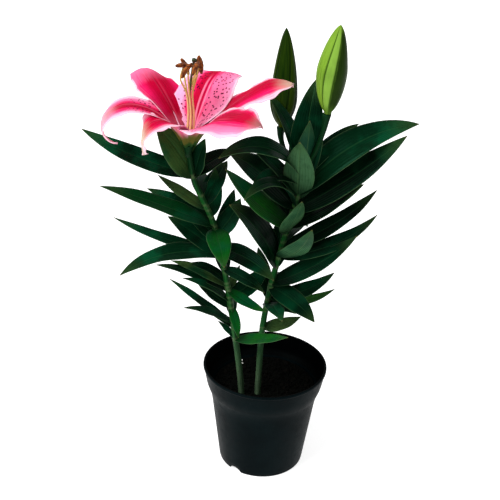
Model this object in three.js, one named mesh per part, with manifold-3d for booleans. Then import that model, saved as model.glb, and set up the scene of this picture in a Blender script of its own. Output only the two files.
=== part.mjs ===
// Potted oriental lily: a black nursery pot of soil, one double-nosed bulb, two leafy stems,
// one open bloom and two buds. Millimetres, +Z up, the pot stands on z = 0, -Y faces the viewer.
import * as THREE from 'three';
import { mergeVertices } from 'three/addons/utils/BufferGeometryUtils.js';
import Module from 'manifold-3d';

const wasm = await Module();
wasm.setup();

// Driving dimensions
const GAP = 0.3;
const POT_RIM_RADIUS = 65;
const POT_HEIGHT = 115;
const POT_BASE_RADIUS = 45.5;
const POT_WALL = 1.8;
const POT_SHOULDER_RADIUS = 56.2;
const POT_SHOULDER_Z = 88;
const COLLAR_FOOT_RADIUS = 61;
const COLLAR_FOOT_Z = 94;
const DRAIN_COUNT = 6;
const DRAIN_FIRST_AZIMUTH = 53;
const DRAIN_RADIUS = 8;
const DRAIN_HEIGHT = 5.5;
const POT_SIDES = 32;
const SOIL_FILL_Z = 89;
const SOIL_BUMP = 1.6;
const HOLE_GAP = 0.7;
const SOIL_SEED = 7;
const BULB_FOOT_Z = 24;
const BULB_NOSE_Z = 60;
const STEM_FOOT_Z = 61.4;
const BULB_RADIUS = 17;
const STEM_FOOT_RADIUS = 3.9;
const STEM_TOP_RADIUS = 2.7;
const STEM_SIDES = 8;
const PEDICEL_RADIUS = 2.3;
const LEAF_THICKNESS = 0.9;
const LEAF_ROOT_HALF = 2.2;
const LEAF_FOLD = 0.22;
const LEAF_STEP_LENGTH = 19;
const LEAF_FEWEST_STEPS = 4;
const RECEPTACLE_RADIUS = 7;
const RECEPTACLE_HEIGHT = 12;
const TEPAL_THICKNESS = 1.1;
const TEPAL_ROOT_RADIUS = 5.9;
const TEPAL_STEPS = 12;
const TEPAL_ACROSS = 6;
const WIDEST_OUTER = 0.62;
const WIDEST_INNER = 0.44;
const FILAMENT_ROOT_RADIUS = 4;
const FILAMENT_RADIUS = 1;
const ANTHER_RADIUS = 2.1;
const ANTHER_LENGTH = 16;
const OVARY_RADIUS = 2;
const STYLE_RADIUS = 1.1;
const STIGMA_RADIUS = 2.5;
const BUD_FOOT_RADIUS = 3.4;

// Stem and pedicel routes: points from the bulb up
const STEM_LEFT = [[-21.5, -22, STEM_FOOT_Z], [-25.6, -22, 112], [-33.6, -22, 168], [-45, -23, 236],
  [-57, -24, 286], [-75, -26, 328], [-80.6, -27, 356]];
const STEM_RIGHT = [[-7, -20, STEM_FOOT_Z], [-6.5, -18, 112], [-5, -16, 165], [2, -15, 218],
  [12, -14, 266], [25, -12, 322], [28, -11.6, 335]];
const PEDICEL_FRONT = [[22, -12.4, 309], [29, -12.8, 340], [37, -13.6, 359],
  [42.3, -14.6, 378], [44.2, -15, 394.4]];
const PEDICEL_BACK = [[22, -12.4, 309], [16, -6, 333], [8, 8, 350], [4.2, 13.6, 361], [4, 14.3, 370.6]];
const BLOOM_SEAT = new THREE.Vector3(-81, -27, 364);

// Leaves in turn up each stem: height on the stem, azimuth, rise at the root, fall of the rise by the
// tip, length, width, turn about the midrib (degrees and millimetres)
const LEAVES_LEFT = [
  [156, 325, 18, -10, 68, 15, 20],
  [157, 165, 46, 10, 25, 7, -20],
  [174, 190, 38, 34, 55, 12, -12],
  [171, 170, 38, 7, 82, 10, -25],
  [182, 320, -50, 20, 28, 9, 20],
  [184, 95, 20, 60, 50, 12, 0],
  [193, 165, 27, -8, 41, 10, -30],
  [205, 28, 12, -46, 52, 18, 45],
  [200, 196, 47, 32, 57, 11, -22],
  [214, 70, 12, -16, 34, 9, 30],
  [212, 176, 31, 30, 76, 12, -25],
  [213, 340, -30, -20, 44, 12, 25],
  [217, 170, 30, 23, 61, 11, -28],
  [221, 165, 44, 60, 46, 10, -25],
  [232, 100, 25, 60, 58, 15, 0],
  [236, 330, -6, 20, 48, 14, 20],
  [250, 204, 22, 54, 106, 19, -18],
  [252, 182, 12, -16, 106, 13, -25],
  [252, 166, 34, 8, 60, 15, -32],
  [259, 325, 4, 36, 68, 21, 25],
  [267, 142, 33, 18, 46, 15, -32],
  [262, 100, 20, 60, 60, 16, 0],
  [262, 70, 54, 10, 58, 16, 20],
  [272, 30, 40, -30, 43, 15, 30],
  [278, 282, 0, 28, 58, 22, 5],
  [282, 190, 26, 8, 115, 20, -26],
  [283, 162, 26, 12, 66, 14, -35],
  [292, 80, 62, -10, 46, 17, 20],
  [299, 160, 23, -8, 58, 12, -25],
  [304, 60, 50, 20, 50, 15, 0],
  [314, 98, 25, 60, 60, 16, 0],
  [336, 171, 9, -20, 113, 20, -38],
  [334, 15, 38, 20, 46, 18, 20],
  [332, 165, 60, 22, 58, 32, -40],
  [332, 350, 75, 0, 40, 16, 0],
];
const LEAVES_RIGHT = [
  [168, 348, 10, -34, 43, 12, 30],
  [190, 342, 38, 85, 34, 16, 20],
  [195, 288, 20, 30, 46, 13, 0],
  [196, 20, -14, -40, 75, 8, 30],
  [200, 105, 50, 30, 60, 14, 0],
  [202, 8, 2, -44, 72, 14, 30],
  [212, 68, 15, 60, 55, 14, 0],
  [214, 325, -8, 30, 58, 22, 28],
  [218, 350, 26, -26, 102, 18, 30],
  [236, 80, 60, 20, 60, 18, 0],
  [237, 199, 68, 30, 88, 38, -35],
  [246, 300, 26, -40, 78, 22, -25],
  [247, 358, 9, -44, 107, 15, 32],
  [257, 8, 20, -30, 109, 15, 35],
  [264, 64, 20, 60, 62, 16, 0],
  [272, 285, 42, -18, 68, 22, 14],
  [280, 110, 55, 25, 80, 20, 0],
  [281, 196, 34, -22, 90, 30, -32],
  [281, 352, 34, -4, 84, 26, 28],
  [300, 230, 66, 100, 92, 16, -20],
  [296, 2, 31, -15, 129, 27, 32],
  [300, 160, 46, 30, 70, 30, -20],
  [302, 102, 20, 55, 66, 17, 0],
  [312, 176, 56, 27, 72, 18, -25],
  [309, 266, 66, -6, 70, 29, -10],
  [318, 300, 76, -14, 72, 26, 8],
  [315, 10, 52, 47, 134, 28, 35],
  [328, 206, 60, 88, 104, 18, -25],
  [326, 72, 90, 36, 98, 25, 20],
  [328, 161, 78, 32, 90, 22, -15],
  [333, 36, 46, 30, 76, 15, 30],
  [324, 192, 40, 110, 58, 20, -20],
];

// Tepals: name, azimuth, length, width, rise at five places from root to tip, turn, sweep, edge wave
const TEPALS = [
  ['tepal_outer_1', 0, 114, 41, [61, 47, 44, 33, -14], 14, -6, 1.6],
  ['tepal_inner_1', 63, 107, 60, [68, 60, 44, 0, -60], -6, -2, 2.0],
  ['tepal_outer_2', 135, 115, 39, [76, 43, 28, 11, -80], 2, -13, 1.6],
  ['tepal_inner_2', 183, 124, 42, [68, 41, 8, -56, -170], -6, 8, 1.2],
  ['tepal_outer_3', 249, 85, 26, [64, 50, 22, -66, -108], 0, -68, 2.4],
  ['tepal_inner_3', 305, 112, 54, [63, 39, 21, 1, -14], 32, 10, 2.0],
];

// Stamens: azimuth of the root, middle of the anther from the bloom's seat, anther heading and pitch, and
// how far the stalk bows out below the anther
const STAMENS = [
  [210, [-4.4, -5, 74.8], 220, 10, 3],
  [150, [-3.1, 6, 71.1], 200, 65, 0.5],
  [270, [-1.9, -9.5, 71.7], 198, -53, 0.5],
  [330, [6.4, -11, 74.7], 253, -28, 0],
  [30, [10.5, 3, 73.8], 337, -80, 0.5],
  [90, [7.4, 9, 70.7], 240, 100, 0],
];

// Middle line of the stamens and the style: distance above the seat and lean towards +X
const BUNDLE = [[24, 2.4], [48, 0.8]];
const BUNDLE_RADIUS = 3;

// Buds: name, foot, tip, radius, place of the greatest width, bend of the middle line, colour
const BUDS = [
  ['bud_front', [44.3, -15, 394.8], [50.7, -15, 475.5], 14.5, 0.48, -2.4, 0x8fa64a],
  ['bud_back', [4, 14.4, 371], [3.8, 19, 463.5], 12.3, 0.3, 0.9, 0x5b6b24],
];

const RAD = Math.PI / 180;
const group = new THREE.Group();

function material(color, roughness, metalness = 0) {
  return new THREE.MeshStandardMaterial({ color, roughness, metalness });
}

function addMesh(name, geometry, color, roughness) {
  geometry.computeVertexNormals();
  const mesh = new THREE.Mesh(geometry, material(color, roughness));
  mesh.name = name;
  group.add(mesh);
  return mesh;
}

// Closed geometry from points and triangles, turned so that its faces point out
function closedGeometry(points, triangles) {
  let volume = 0;
  for (const [a, b, c] of triangles) {
    volume += points[a].dot(new THREE.Vector3().crossVectors(points[b], points[c]));
  }
  const index = triangles.flatMap(([a, b, c]) => (volume < 0 ? [a, c, b] : [a, b, c]));
  const geometry = new THREE.BufferGeometry();
  const numbers = points.flatMap((p) => [p.x, p.y, p.z]);
  geometry.setAttribute('position', new THREE.Float32BufferAttribute(numbers, 3));
  geometry.setIndex(index);
  return geometry;
}

function toSolid(geometry) {
  const bare = geometry.clone();
  bare.deleteAttribute('normal');
  bare.deleteAttribute('uv');
  const welded = mergeVertices(bare, 1e-4);
  const mesh = new wasm.Mesh({
    numProp: 3,
    vertProperties: new Float32Array(welded.attributes.position.array),
    triVerts: new Uint32Array(welded.index.array),
  });
  return new wasm.Manifold(mesh);
}

function toGeometry(solid) {
  const mesh = solid.getMesh();
  const geometry = new THREE.BufferGeometry();
  geometry.setAttribute('position', new THREE.Float32BufferAttribute(mesh.vertProperties, 3));
  geometry.setIndex(Array.from(mesh.triVerts));
  return geometry;
}

// A blade with both faces split alike: grid[i][j] runs along the blade and across it
function bladeGeometry(grid, thickness) {
  const along = grid.length;
  const across = grid[0].length;
  const points = [];
  for (const side of [0.5, -0.5]) {
    for (let i = 0; i < along; i += 1) {
      for (let j = 0; j < across; j += 1) {
        const ahead = grid[Math.min(i + 1, along - 1)][j].clone().sub(grid[Math.max(i - 1, 0)][j]);
        const beside = grid[i][Math.min(j + 1, across - 1)].clone().sub(grid[i][Math.max(j - 1, 0)]);
        const normal = ahead.cross(beside).normalize();
        points.push(grid[i][j].clone().addScaledVector(normal, side * thickness));
      }
    }
  }
  const at = (i, j, face) => face * along * across + i * across + j;
  const triangles = [];
  for (let i = 0; i < along - 1; i += 1) {
    for (let j = 0; j < across - 1; j += 1) {
      triangles.push([at(i, j, 0), at(i + 1, j, 0), at(i + 1, j + 1, 0)]);
      triangles.push([at(i, j, 0), at(i + 1, j + 1, 0), at(i, j + 1, 0)]);
      triangles.push([at(i, j, 1), at(i + 1, j + 1, 1), at(i + 1, j, 1)]);
      triangles.push([at(i, j, 1), at(i, j + 1, 1), at(i + 1, j + 1, 1)]);
    }
  }
  const rim = [
    ...Array.from({ length: across - 1 }, (_, j) => [0, j]),
    ...Array.from({ length: along - 1 }, (_, i) => [i, across - 1]),
    ...Array.from({ length: across - 1 }, (_, j) => [along - 1, across - 1 - j]),
    ...Array.from({ length: along - 1 }, (_, i) => [along - 1 - i, 0]),
  ];
  rim.forEach(([i, j], k) => {
    const [m, n] = rim[(k + 1) % rim.length];
    triangles.push([at(i, j, 0), at(m, n, 0), at(m, n, 1)]);
    triangles.push([at(i, j, 0), at(m, n, 1), at(i, j, 1)]);
  });
  return closedGeometry(points, triangles);
}

// A closed round body along a route; radiusAt(along, angle) gives its radius
function tubeGeometry(route, radiusAt, sides, rings) {
  const curve = new THREE.CatmullRomCurve3(route.map((p) => new THREE.Vector3(...p)));
  const points = [];
  for (let i = 0; i <= rings; i += 1) {
    const along = i / rings;
    const middle = curve.getPointAt(along);
    const tangent = curve.getTangentAt(along);
    const aside = Math.abs(tangent.y) > 0.8 ? new THREE.Vector3(1, 0, 0) : new THREE.Vector3(0, 1, 0);
    const across = new THREE.Vector3().crossVectors(aside, tangent).normalize();
    const over = new THREE.Vector3().crossVectors(tangent, across);
    for (let k = 0; k < sides; k += 1) {
      const angle = (2 * Math.PI * k) / sides;
      const radius = radiusAt(along, angle);
      const point = middle.clone().addScaledVector(across, radius * Math.cos(angle));
      points.push(point.addScaledVector(over, radius * Math.sin(angle)));
    }
  }
  const foot = points.push(curve.getPointAt(0)) - 1;
  const head = points.push(curve.getPointAt(1)) - 1;
  const triangles = [];
  for (let k = 0; k < sides; k += 1) {
    const next = (k + 1) % sides;
    for (let i = 0; i < rings; i += 1) {
      const low = i * sides;
      const high = low + sides;
      triangles.push([low + k, low + next, high + next]);
      triangles.push([low + k, high + next, high + k]);
    }
    triangles.push([foot, next, k]);
    triangles.push([head, rings * sides + k, rings * sides + next]);
  }
  return closedGeometry(points, triangles);
}

// Place on a stem's route at a height
function onRoute(route, z) {
  const above = route.findIndex((p) => p[2] >= z);
  const upper = above < 0 ? route.length - 1 : Math.max(1, above);
  const [a, b] = [route[upper - 1], route[upper]];
  const t = (z - a[2]) / (b[2] - a[2]);
  return new THREE.Vector3(a[0] + (b[0] - a[0]) * t, a[1] + (b[1] - a[1]) * t, z);
}

// Straight-line reading of a short list of values spread evenly from 0 to 1
function spread(values, u) {
  const place = Math.min(u, 0.9999) * (values.length - 1);
  const k = Math.floor(place);
  return values[k] + (values[k + 1] - values[k]) * (place - k);
}

// Frame at the next step of a midrib: its direction, side and face normal
function ribFrame(azimuth, rise, turn) {
  const out = new THREE.Vector3(Math.cos(azimuth), Math.sin(azimuth), 0);
  const ahead = out.clone().multiplyScalar(Math.cos(rise)).setZ(Math.sin(rise));
  const level = new THREE.Vector3(-out.y, out.x, 0);
  const face = new THREE.Vector3().crossVectors(ahead, level);
  const side = level.clone().multiplyScalar(Math.cos(turn)).addScaledVector(face, Math.sin(turn));
  return { out, ahead, side, face: new THREE.Vector3().crossVectors(ahead, side) };
}

function leafHalfWidth(u, width) {
  const swell = ((u + 0.02) ** 0.6 * (1 - u) ** 0.9) / (0.4 ** 0.6 * 0.6 ** 0.9);
  return Math.max((width / 2) * swell, LEAF_ROOT_HALF * (1 - u), 0.45);
}

function leafGeometry([z, azimuth, rise, fall, length, width, turn], route) {
  const middle = onRoute(route, z);
  const steps = Math.max(LEAF_FEWEST_STEPS, Math.round(length / LEAF_STEP_LENGTH));
  const grid = [];
  for (let i = 0; i <= steps; i += 1) {
    const u = i / steps;
    const { ahead, side, face } = ribFrame(azimuth * RAD, (rise - fall * u ** 1.3) * RAD, turn * RAD);
    if (i > 0) middle.addScaledVector(ahead, length / steps);
    const half = leafHalfWidth(u, width);
    grid.push([-1, 0, 1].map((v) => middle.clone().addScaledVector(side, v * half)
      .addScaledVector(face, Math.abs(v) * half * LEAF_FOLD)));
  }
  return bladeGeometry(grid, LEAF_THICKNESS);
}

// Half width of a tepal that is widest at the given place, kept narrow on the claw ring
function tepalHalfWidth(u, width, radius, widest) {
  const rise = (0.62 * widest) / (1 - widest);
  const swell = (u / widest) ** rise * ((1 - u) / (1 - widest)) ** 0.62;
  const claw = 0.4 * radius - GAP;
  const limit = u < 0.5 ? claw : width;
  return Math.max(Math.min((width / 2) * swell, limit), Math.min(1.8, claw) * (1 - u), 0.5);
}

function tepalGeometry([name, azimuth, length, width, rises, turn, sweep, wave]) {
  const { out } = ribFrame(azimuth * RAD, 0, 0);
  const middle = BLOOM_SEAT.clone().addScaledVector(out, TEPAL_ROOT_RADIUS).setZ(BLOOM_SEAT.z + GAP);
  const grid = [];
  for (let i = 0; i <= TEPAL_STEPS; i += 1) {
    const u = i / TEPAL_STEPS;
    const heading = (azimuth + sweep * u) * RAD;
    const { ahead, side, face } = ribFrame(heading, spread(rises, u) * RAD, turn * u * RAD);
    if (i > 0) middle.addScaledVector(ahead, length / TEPAL_STEPS);
    const radius = Math.hypot(middle.x - BLOOM_SEAT.x, middle.y - BLOOM_SEAT.y);
    const half = tepalHalfWidth(u, width, radius, name.includes('inner') ? WIDEST_INNER : WIDEST_OUTER);
    const row = [];
    for (let j = 0; j <= TEPAL_ACROSS; j += 1) {
      const v = (2 * j) / TEPAL_ACROSS - 1;
      const ripple = wave * u * Math.sin(2 * Math.PI * (2.6 * u + 0.25 * v)) * Math.abs(v) ** 3;
      const lift = (0.3 - 0.45 * u) * half * v * v + ripple;
      row.push(middle.clone().addScaledVector(side, v * half).addScaledVector(face, lift));
    }
    grid.push(row);
  }
  return bladeGeometry(grid, TEPAL_THICKNESS);
}

function potGeometry() {
  const outer = [
    [0, 0], [POT_BASE_RADIUS - 1.2, 0], [POT_BASE_RADIUS, 1.4],
    [POT_SHOULDER_RADIUS, POT_SHOULDER_Z], [POT_SHOULDER_RADIUS + 1.2, POT_SHOULDER_Z + 3],
    [COLLAR_FOOT_RADIUS - 0.8, COLLAR_FOOT_Z - 1], [COLLAR_FOOT_RADIUS, COLLAR_FOOT_Z],
    [POT_RIM_RADIUS - 1, POT_HEIGHT - 3], [POT_RIM_RADIUS, POT_HEIGHT - 2.2],
    [POT_RIM_RADIUS, POT_HEIGHT - 0.8], [POT_RIM_RADIUS - 0.8, POT_HEIGHT],
  ];
  const inner = [
    [POT_RIM_RADIUS - 2.2, POT_HEIGHT], [POT_RIM_RADIUS - 2.9, POT_HEIGHT - 0.9],
    [COLLAR_FOOT_RADIUS - POT_WALL, COLLAR_FOOT_Z + 1.5], [POT_SHOULDER_RADIUS - 0.6, POT_SHOULDER_Z + 4],
    [POT_SHOULDER_RADIUS - POT_WALL, POT_SHOULDER_Z], [POT_BASE_RADIUS - POT_WALL, POT_WALL + 1],
    [POT_BASE_RADIUS - POT_WALL - 1, POT_WALL], [0, POT_WALL],
  ];
  const profile = [...outer, ...inner].map(([r, z]) => new THREE.Vector2(r, z));
  const wall = toSolid(new THREE.LatheGeometry(profile, POT_SIDES).rotateX(Math.PI / 2));
  const drains = [];
  for (let k = 0; k < DRAIN_COUNT; k += 1) {
    const azimuth = DRAIN_FIRST_AZIMUTH + (360 / DRAIN_COUNT) * k;
    const arch = new THREE.CylinderGeometry(DRAIN_RADIUS, DRAIN_RADIUS, 16, 14);
    arch.rotateZ(Math.PI / 2);
    arch.translate(POT_BASE_RADIUS, 0, DRAIN_HEIGHT - DRAIN_RADIUS);
    arch.rotateZ(azimuth * RAD);
    drains.push(toSolid(arch));
  }
  return wall.subtract(wasm.Manifold.union(drains));
}

function bulbRadius(along, angle) {
  const swell = Math.sin(Math.PI * Math.min(1, 0.12 + 0.83 * along) ** 0.8);
  return (BULB_RADIUS * swell + 1.2) * (1 + 0.05 * Math.cos(5 * angle));
}

// A nose of the bulb under each stem, grown together; grow widens it for the soil's hollow
function bulbSolid(grow) {
  const noses = [STEM_LEFT[0], STEM_RIGHT[0]].map(([x, y], k) => {
    const footX = k === 0 ? -16 : 3;
    const foot = [footX, y / 2, BULB_FOOT_Z - grow];
    const route = [foot, [(footX + x) / 2, y * 0.7, 42], [x, y, BULB_NOSE_Z + grow]];
    return toSolid(tubeGeometry(route, (along, angle) => bulbRadius(along, angle) + grow, 12, 7));
  });
  return wasm.Manifold.union(noses);
}

function stemRadius(along) {
  return STEM_FOOT_RADIUS + (STEM_TOP_RADIUS - STEM_FOOT_RADIUS) * along;
}

function stemSolid(route, radiusAt, rings) {
  return toSolid(tubeGeometry(route, radiusAt, STEM_SIDES, rings));
}

function leafyStem(route, leaves, extra) {
  const blades = leaves.map((leaf) => toSolid(leafGeometry(leaf, route)));
  return wasm.Manifold.union([...extra, ...blades]);
}

// The bloom's seat: it widens from the stem's top to a level face under the tepals
function receptacleSolid() {
  const { x, y, z } = BLOOM_SEAT;
  const swell = (along) => STEM_TOP_RADIUS + (RECEPTACLE_RADIUS - STEM_TOP_RADIUS) * along ** 1.6;
  return stemSolid([[x, y, z - RECEPTACLE_HEIGHT], [x, y, z]], swell, 4);
}

function pedicelRadius(along) {
  const flare = Math.max(0, (along - 0.75) / 0.25);
  return PEDICEL_RADIUS + 2 * flare ** 1.5;
}

// Seeded draw between 0 and 1
function seededDraw(seed) {
  let state = seed;
  return () => {
    state = (state * 16807) % 2147483647;
    return state / 2147483647;
  };
}

function soilSolid() {
  const draw = seededDraw(SOIL_SEED);
  const wallInside = (z) => POT_BASE_RADIUS - POT_WALL - GAP
    + ((POT_SHOULDER_RADIUS - POT_BASE_RADIUS) * (z - POT_WALL)) / (POT_SHOULDER_Z - POT_WALL);
  const foot = POT_WALL + GAP;
  const rings = [[foot, 0.97, 0], [foot + 3, 1, 0], [POT_SHOULDER_Z - 2, 1, 0], [SOIL_FILL_Z, 0.96, 0.4],
    [SOIL_FILL_Z + 0.5, 0.78, 1], [SOIL_FILL_Z + 1, 0.56, 1], [SOIL_FILL_Z + 1, 0.32, 1]];
  const points = [];
  for (const [z, scale, bump] of rings) {
    for (let k = 0; k < POT_SIDES; k += 1) {
      const angle = (2 * Math.PI * k) / POT_SIDES;
      const radius = (wallInside(Math.min(z, POT_SHOULDER_Z)) - 0.2) * scale;
      const lift = SOIL_BUMP * (draw() - 0.5) * bump;
      points.push(new THREE.Vector3(radius * Math.cos(angle), radius * Math.sin(angle), z + lift));
    }
  }
  const low = points.push(new THREE.Vector3(0, 0, foot)) - 1;
  const high = points.push(new THREE.Vector3(0, 0, SOIL_FILL_Z + 1)) - 1;
  const triangles = [];
  for (let k = 0; k < POT_SIDES; k += 1) {
    const next = (k + 1) % POT_SIDES;
    for (let i = 0; i < rings.length - 1; i += 1) {
      const row = i * POT_SIDES;
      triangles.push([row + k, row + next, row + POT_SIDES + next]);
      triangles.push([row + k, row + POT_SIDES + next, row + POT_SIDES + k]);
    }
    triangles.push([low, next, k]);
    triangles.push([high, (rings.length - 1) * POT_SIDES + k, (rings.length - 1) * POT_SIDES + next]);
  }
  const hollows = [STEM_LEFT, STEM_RIGHT].map(([foot, next]) => {
    const below = [foot[0], foot[1], foot[2] - 6];
    return toSolid(tubeGeometry([below, next], () => STEM_FOOT_RADIUS + HOLE_GAP, 12, 1));
  });
  hollows.push(bulbSolid(GAP));
  return toSolid(closedGeometry(points, triangles)).subtract(wasm.Manifold.union(hollows));
}

function budGeometry(foot, tip, radius, widest, bend) {
  const middle = [(foot[0] + tip[0]) / 2 + bend, (foot[1] + tip[1]) / 2, (foot[2] + tip[2]) / 2];
  const swell = (along, angle) => {
    const rise = Math.sin((Math.PI / 2) * Math.min(along / widest, 1)) ** 0.55;
    const fall = (1 - Math.max((along - widest) / (1 - widest), 0) ** 1.4) ** 0.85;
    const body = Math.max(radius * rise, BUD_FOOT_RADIUS) * fall;
    const seam = 0.1 * Math.max(0, Math.cos(3 * angle)) ** 6;
    return Math.max(body * (1 - seam), 0.6);
  };
  return tubeGeometry([foot, middle, tip], swell, 18, 11);
}

function antherGeometry(middle, heading, pitch) {
  const ahead = ribFrame(heading * RAD, pitch * RAD, 0).ahead;
  const foot = middle.clone().addScaledVector(ahead, -ANTHER_LENGTH / 2);
  const head = middle.clone().addScaledVector(ahead, ANTHER_LENGTH / 2);
  const swell = (along, angle) => ANTHER_RADIUS * (0.35 + 0.65 * Math.sin(Math.PI * along) ** 0.5)
    * (1 - 0.12 * Math.cos(2 * angle));
  return tubeGeometry([foot.toArray(), head.toArray()], swell, 6, 6);
}

function filamentGeometry(rootAzimuth, middle, heading, pitch, bow) {
  const { out } = ribFrame(rootAzimuth * RAD, 0, 0);
  const root = BLOOM_SEAT.clone().addScaledVector(out, FILAMENT_ROOT_RADIUS).setZ(BLOOM_SEAT.z + GAP);
  const { face } = ribFrame(heading * RAD, pitch * RAD, 0);
  const reach = middle.clone().addScaledVector(face, -(ANTHER_RADIUS * 1.12 + 2 * GAP));
  const gathered = BUNDLE.map(([rise, lean]) => BLOOM_SEAT.clone().addScaledVector(out, BUNDLE_RADIUS)
    .add(new THREE.Vector3(lean, 0, rise)));
  const bowed = gathered[1].clone().lerp(reach, 0.6).addScaledVector(out, bow);
  const route = [root, ...gathered, bowed, reach].map((p) => p.toArray());
  return tubeGeometry(route, (along) => FILAMENT_RADIUS * (1.1 - 0.35 * along), 6, 10);
}

function pistilGeometry() {
  const { x, y, z } = BLOOM_SEAT;
  const gathered = BUNDLE.map(([rise, lean]) => [x + lean, y, z + rise]);
  const route = [[x, y, z + GAP], ...gathered, [x + 3, y, z + 69], [x + 4.8, y, z + 80]];
  const swell = (along, angle) => {
    const ovary = OVARY_RADIUS - STYLE_RADIUS;
    const fade = Math.max(0, 1 - Math.max(0, along - 0.15) / 0.1);
    const head = Math.max(0, (along - 0.93) / 0.07);
    return STYLE_RADIUS + ovary * Math.min(1, fade)
      + (STIGMA_RADIUS - STYLE_RADIUS) * Math.min(1, 1.6 * head) * (1 + 0.12 * Math.cos(3 * angle));
  };
  return tubeGeometry(route, swell, 6, 20);
}

addMesh('pot', toGeometry(potGeometry()), 0x1d2126, 0.55);
addMesh('soil', toGeometry(soilSolid()), 0x2a1d14, 0.95);
addMesh('bulb', toGeometry(bulbSolid(0)), 0xd9c9a3, 0.7);
addMesh('leafy_stem_left', toGeometry(leafyStem(STEM_LEFT, LEAVES_LEFT,
  [stemSolid(STEM_LEFT, stemRadius, 14), receptacleSolid()])), 0x1f5a2c, 0.5);
addMesh('leafy_stem_right', toGeometry(leafyStem(STEM_RIGHT, LEAVES_RIGHT, [
  stemSolid(STEM_RIGHT, stemRadius, 12),
  stemSolid(PEDICEL_FRONT, pedicelRadius, 7),
  stemSolid(PEDICEL_BACK, pedicelRadius, 7),
])), 0x1f5a2c, 0.5);
TEPALS.forEach((row) => addMesh(row[0], tepalGeometry(row), 0xe8458a, 0.5));
STAMENS.forEach(([root, place, heading, pitch, bow], k) => {
  const middle = BLOOM_SEAT.clone().add(new THREE.Vector3(...place));
  addMesh(`filament_${k + 1}`, filamentGeometry(root, middle, heading, pitch, bow), 0xdfe0a8, 0.5);
  addMesh(`anther_${k + 1}`, antherGeometry(middle, heading, pitch), 0x8a4418, 0.85);
});
addMesh('pistil', pistilGeometry(), 0x6f7a3a, 0.5);
BUDS.forEach(([name, foot, tip, radius, widest, bend, color]) => {
  addMesh(name, budGeometry(foot, tip, radius, widest, bend), color, 0.5);
});

export default group;
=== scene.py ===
# Looks of the potted lily: fine leaves, tepals, stamens, buds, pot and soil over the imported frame.
# Shapes are worked out in millimetres and made in metres. +Z is up and -Y faces the viewer.
import math
import random

import bmesh
import bpy
import numpy as np
from mathutils import Euler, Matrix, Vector


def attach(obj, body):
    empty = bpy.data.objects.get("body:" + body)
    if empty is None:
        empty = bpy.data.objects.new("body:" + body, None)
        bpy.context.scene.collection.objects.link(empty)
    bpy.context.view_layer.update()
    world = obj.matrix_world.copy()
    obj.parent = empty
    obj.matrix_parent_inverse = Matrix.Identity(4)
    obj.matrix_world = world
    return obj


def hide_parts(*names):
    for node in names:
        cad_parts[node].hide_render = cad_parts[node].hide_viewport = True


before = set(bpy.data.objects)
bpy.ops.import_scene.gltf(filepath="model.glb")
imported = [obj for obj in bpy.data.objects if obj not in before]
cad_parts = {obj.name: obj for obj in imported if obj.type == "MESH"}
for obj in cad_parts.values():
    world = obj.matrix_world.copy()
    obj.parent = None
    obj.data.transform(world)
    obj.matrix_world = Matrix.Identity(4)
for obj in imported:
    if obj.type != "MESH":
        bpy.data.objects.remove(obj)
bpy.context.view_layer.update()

MM = 0.001
GAP = 0.3
BODY = "root"

# Pot and soil
POT_RIM_RADIUS = 65
POT_HEIGHT = 115
POT_BASE_RADIUS = 45.5
POT_WALL = 1.8
POT_SHOULDER_RADIUS = 56.2
POT_SHOULDER_Z = 88
COLLAR_FOOT_RADIUS = 61
COLLAR_FOOT_Z = 94
COLLAR_LINE_FOOT = 43.5
DRAIN_COUNT = 3
DRAIN_FIRST_AZIMUTH = 113
DRAIN_RADIUS = 8
DRAIN_HEIGHT = 5.5
POT_SIDES = 160
SOIL_FILL_Z = 89
SOIL_BUMP = 1.6

# Stems
STEM_FOOT_Z = 61.4
STEM_FOOT_RADIUS = 3.9
STEM_TOP_RADIUS = 2.7
PEDICEL_RADIUS = 2.3
RECEPTACLE_RADIUS = 5.8
RECEPTACLE_HEIGHT = 12
STEM_LEFT = [[-21.5, -22, STEM_FOOT_Z], [-25.6, -22, 112], [-33.6, -22, 168], [-45, -23, 236],
             [-57, -24, 286], [-75, -26, 328], [-80.6, -27, 356]]
STEM_RIGHT = [[-7, -20, STEM_FOOT_Z], [-6.5, -18, 112], [-5, -16, 165], [2, -15, 218],
              [12, -14, 266], [25, -12, 322], [28, -11.6, 335]]
PEDICEL_FRONT = [[22, -12.4, 309], [29, -12.8, 340], [37, -13.6, 359],
                 [42.3, -14.6, 378], [44.2, -15, 394.4]]
PEDICEL_BACK = [[22, -12.4, 309], [16, -6, 333], [8, 8, 350], [4.2, 13.6, 361], [4, 14.3, 370.6]]
BLOOM_SEAT = np.array([-81.0, -27.0, 364.0])

# Leaves
LEAF_THICKNESS = 0.9
LEAF_ROOT_HALF = 2.2
LEAF_FOLD = 0.22
LEAF_STEPS = 26
LEAF_ACROSS = 10

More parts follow.
